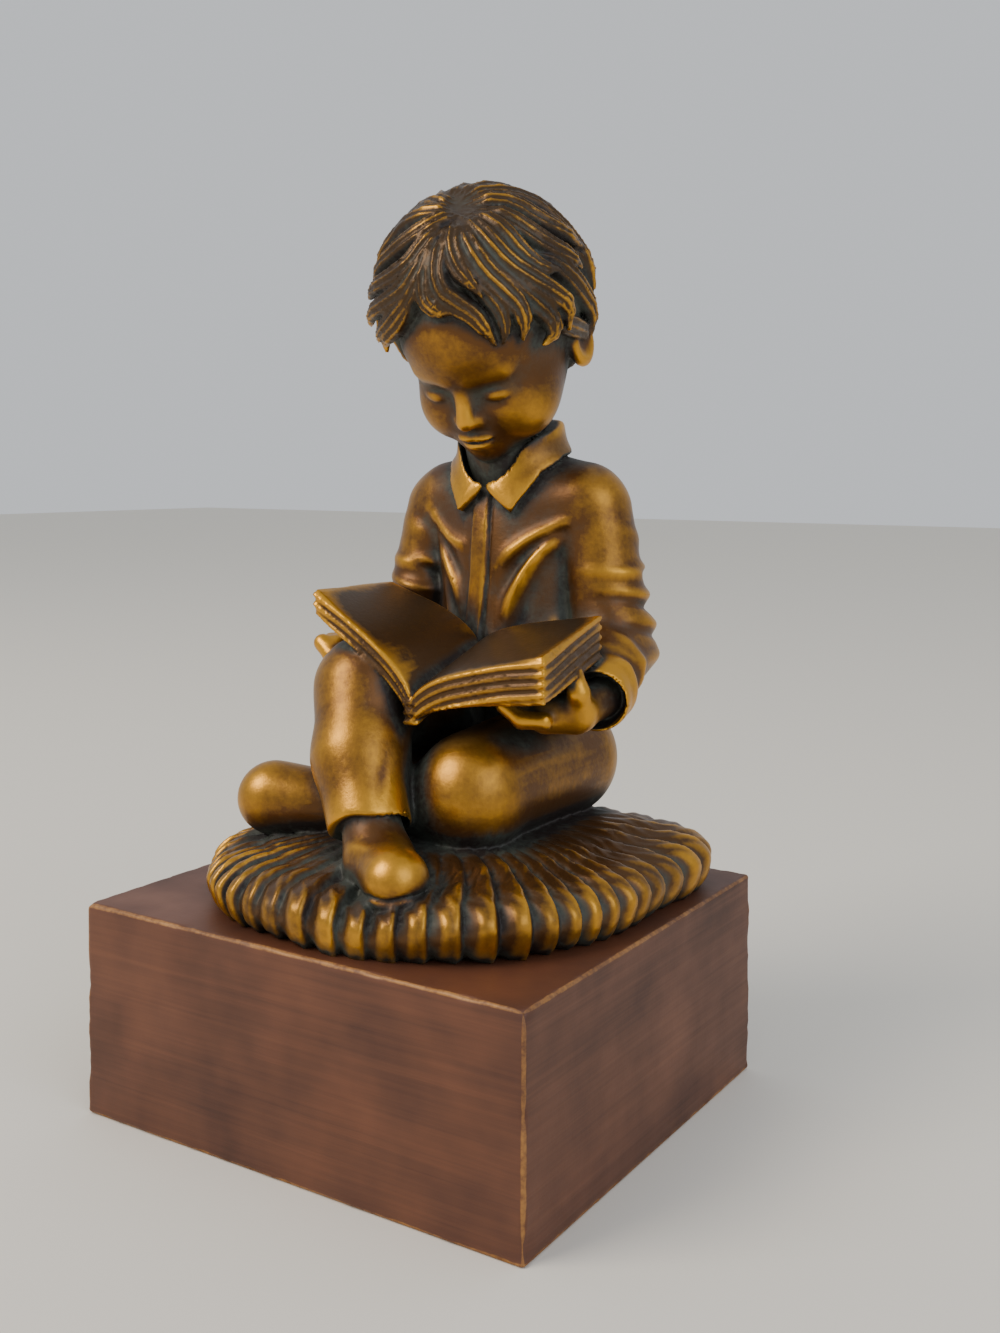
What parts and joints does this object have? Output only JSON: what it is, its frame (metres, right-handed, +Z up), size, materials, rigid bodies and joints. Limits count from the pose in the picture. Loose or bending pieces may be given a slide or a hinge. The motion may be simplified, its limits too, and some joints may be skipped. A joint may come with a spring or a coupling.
{
  "type": "bookend statue",
  "caption": "Bookend with a seated child reading an open book on a pleated cushion, set on a rectangular plinth with a flat back.",
  "frame": {"origin": "middle of the plinth's underside, on the shelf", "axes": "+Z up, the child faces -Y, +Y is the flat back that the books stand against, +X is the child's left"},
  "size_m": [0.108, 0.097, 0.1995],
  "materials": {
    "plinth_paint": "reddish brown satin paint with horizontal brush streaks, gold-rubbed edges and pale nicks",
    "bronze_paint": "satin bronze paint, rubbed to gold on the high places and dark brown with grey-green dust in the recesses"
  },
  "bodies": {
    "root": {"plinth": "plinth_paint", "figure": "bronze_paint"}
  },
  "joints": []
}
